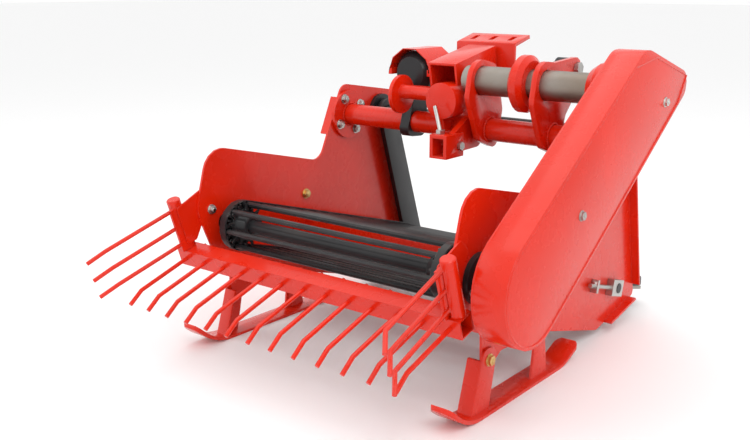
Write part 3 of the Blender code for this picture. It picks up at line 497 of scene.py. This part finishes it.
def chain_links(pitch):
    """Side plates and rollers on both chains of the elevator."""
    chain_x = 0.262
    pattern = []
    for x in (-0.0085, 0.0085):
        pattern.append(("box", (0.0016, pitch * 0.62, 0.0125), Matrix.Translation((x, 0, 0))))
        for y in (-0.31, 0.31):
            pattern.append(("cone", (0.0063, 0.0063, 0.0016, 12),
                            Matrix.Translation((x, y * pitch, 0)) @ Matrix.Rotation(pi / 2, 4, "Y")))
    pattern.append(("cone", (0.0030, 0.0030, 0.022, 8), Matrix.Rotation(pi / 2, 4, "Y")))
    places = []
    for side in (-1, 1):
        for i, (y, z, turn) in enumerate(web_loop(0.0455, pitch)):
            point = body_point(CENTRE_X + side * chain_x, y, z)
            places.append((point, Euler((turn - NOSE_DOWN, 0, 0)), 1.0 if i % 2 else 0.97))
    repeat("chain_links", shape_from(pattern), places, "frame", "black_paint")


def sprocket_teeth():
    """Teeth that stand between the links on the drive and front wheels."""
    pattern = shape_from([("cone", (0.0062, 0.0026, 0.014, 4),
                           Matrix.Scale(0.55, 4, (1, 0, 0)) @ Matrix.Rotation(pi / 4, 4, "Z"))])
    places = []
    for side in (-1, 1):
        for centre in (0.0, 0.575):
            for x in (-0.0135, 0.0135):
                for i in range(14):
                    turn = 2 * pi * i / 14
                    y, z = centre + 0.041 * cos(turn), 0.041 * sin(turn)
                    point = body_point(CENTRE_X + side * 0.262 + x, y, z)
                    way = body_point(0, cos(turn), sin(turn)) - body_point(0, 0, 0)
                    places.append((point, way, 1.0))
    repeat("sprocket_teeth", pattern, places, "frame", "black_paint")


def welds(width):
    """Beads where the tubes, lugs, tines and beam are welded."""
    bead = shape_from([("ball", (0.5, 0.36, 0.36), Matrix.Identity(4))])
    places = []

    def ring_of(x, at, radius, count):
        for i in range(count):
            turn = 2 * pi * i / count
            point = body_point(x, at[0] + radius * cos(turn), at[1] + radius * sin(turn))
            places.append((point, Euler((turn, 0, 0)), width))

    for node in ("lug_1", "lug_2"):
        low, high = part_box(node)
        for x in (low.x - 0.0008, high.x + 0.0008):
            ring_of(x, (0.3335, 0.288), 0.0262, 44)
    for side in (-1, 1):
        ring_of(CENTRE_X + side * 0.3008, (0.3335, 0.288), 0.0262, 44)
    low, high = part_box("tube_collar")
    ring_of(low.x + 0.0005, (0.271, 0.380), 0.0318, 50)
    repeat("weld_beads", bead, places, "frame", "red_paint")


def case_cover():
    """The folded lip round the chain case's outer face and its slotted cover strip."""
    along = Vector((cos(radians(49.6)), sin(radians(49.6))))
    across = Vector((along.y, -along.x))
    path = []
    for i in range(15):
        turn = radians(49.6) + pi / 2 + pi * i / 14
        path.append((0.0945 * cos(turn), 0.0945 * sin(turn)))
    path += [tuple(across * 0.0945 + along * 0.60), (0.480, 0.4555), (0.315, 0.4555),
             tuple(-across * 0.0945 + along * 0.470)]
    curve = bpy.data.curves.new("case_lip", "CURVE")
    curve.dimensions = "3D"
    curve.bevel_depth = 0.0022
    curve.bevel_resolution = 2
    spline = curve.splines.new("POLY")
    spline.points.add(len(path) - 1)
    for point, (y, z) in zip(spline.points, path):
        point.co = (*body_point(CASE_FACE - 0.0008, y, z), 1)
    spline.use_cyclic_u = True
    settle(baked(new_object("case_lip", curve)), "frame", "red_paint")


def splines():
    """Six raised splines on the power take-off stub."""
    low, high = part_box("pto_stub")
    centre = (low + high) / 2
    length = (high.y - low.y) * 0.55
    radius = (high.x - low.x) / 2
    pattern = shape_from([("box", (0.0085, length, 0.0034), Matrix.Identity(4))])
    places = []
    for i in range(6):
        turn = 2 * pi * i / 6
        point = (centre.x + (radius - 0.0004) * sin(turn), high.y - length / 2 - 0.002,
                 centre.z + (radius - 0.0004) * cos(turn))
        places.append((point, Euler((0, turn, 0)), 1.0))
    repeat("stub_splines", pattern, places, "pto", "bare_steel")


# ---- stage --------------------------------------------------------------------------
def stage():
    """A pale floor that rises into a backdrop, soft lamps and the camera."""
    mesh = bpy.data.meshes.new("floor")
    mesh.from_pydata([(-30, -30, 0), (30, -30, 0), (30, 30, 0), (-30, 30, 0)], [], [(0, 1, 2, 3)])
    floor = new_object("floor", mesh)
    pale = bpy.data.materials.new("pale_floor")
    pale.use_nodes = True
    shader = pale.node_tree.nodes["Principled BSDF"]
    shader.inputs["Base Color"].default_value = (0.93, 0.93, 0.93, 1)
    shader.inputs["Roughness"].default_value = 0.9
    floor.data.materials.append(pale)
    world = bpy.data.worlds.new("studio")
    bpy.context.scene.world = world
    world.use_nodes = True
    world.node_tree.nodes["Background"].inputs["Color"].default_value = (1, 1, 1, 1)
    world.node_tree.nodes["Background"].inputs["Strength"].default_value = 1.0
    for name, place, energy, size in (("key", (1.9, -1.6, 2.6), 26, 1.6),
                                      ("fill", (-2.4, -1.6, 1.8), 8, 2.2),
                                      ("top", (0.0, 0.4, 3.0), 22, 2.6)):
        lamp = bpy.data.lights.new(name, "AREA")
        lamp.energy = energy
        lamp.size = size
        holder = new_object(name, lamp)
        holder.location = place
        aim = Vector((0, 0, 0.3)) - Vector(place)
        holder.rotation_euler = aim.to_track_quat("-Z", "Y").to_euler()
    lens = bpy.data.cameras.new("camera")
    lens.lens = 45.29
    lens.sensor_width = 36
    camera = new_object("camera", lens)
    camera.location = (1.102, -1.5946, 0.743)
    camera.rotation_euler = (radians(90 - 14.203), 0, radians(38.595))
    bpy.context.scene.camera = camera
    bpy.context.scene.view_settings.view_transform = "Standard"


# ---- operators ----------------------------------------------------------------------
def operator(name, label, text, action):
    """An operator class that runs one maker."""
    def execute(self, context):
        action(context.scene)
        return {"FINISHED"}

    return type("DIGGER_OT_" + name, (bpy.types.Operator,),
                {"bl_idname": "digger." + name, "bl_label": label, "__doc__": text,
                 "execute": execute})


OPERATORS = [
    operator("materials", "Materials", "Make the paints and metals",
             lambda scene: make_materials(scene.digger_paint)),
    operator("dress", "Main pieces", "Give each frame node its finish",
             lambda scene: dress_nodes()),
    operator("bolts", "Bolts", "Put on nuts and bolts",
             lambda scene: bolts(scene.digger_parts.bolt)),
    operator("links", "Chain links", "Put links on the elevator chains",
             lambda scene: chain_links(scene.digger_parts.pitch)),
    operator("teeth", "Sprocket teeth", "Cut teeth on the chain wheels",
             lambda scene: sprocket_teeth()),
    operator("welds", "Welds", "Lay weld beads", lambda scene: welds(scene.digger_parts.weld)),
    operator("case_cover", "Case lip", "Fold the lip of the chain case",
             lambda scene: case_cover()),
    operator("splines", "Splines", "Put splines on the power take-off stub",
             lambda scene: splines()),
    operator("stage", "Stage", "Make the floor, lamps and camera", lambda scene: stage()),
]


class DIGGER_PT_panel(bpy.types.Panel):
    """Lists the digger's makers and settings."""
    bl_idname = "DIGGER_PT_panel"
    bl_label = "Potato digger"
    bl_space_type = "VIEW_3D"
    bl_region_type = "UI"
    bl_category = "Digger"

    def draw(self, context):
        for group in (context.scene.digger_paint, context.scene.digger_parts):
            for name in group.__annotations__:
                self.layout.prop(group, name)
        for maker in OPERATORS:
            self.layout.operator(maker.bl_idname)


CLASSES = [DiggerPaint, DiggerParts, *OPERATORS, DIGGER_PT_panel]


def register():
    for item in CLASSES:
        bpy.utils.register_class(item)
    bpy.types.Scene.digger_paint = PointerProperty(type=DiggerPaint)
    bpy.types.Scene.digger_parts = PointerProperty(type=DiggerParts)


def unregister():
    del bpy.types.Scene.digger_parts
    del bpy.types.Scene.digger_paint
    for item in reversed(CLASSES):
        bpy.utils.unregister_class(item)


def main():
    register()
    for name in ("materials", "dress", "bolts", "links", "teeth", "welds", "case_cover", "splines",
                 "stage"):
        getattr(bpy.ops.digger, name)()


if __name__ == "__main__":
    main()
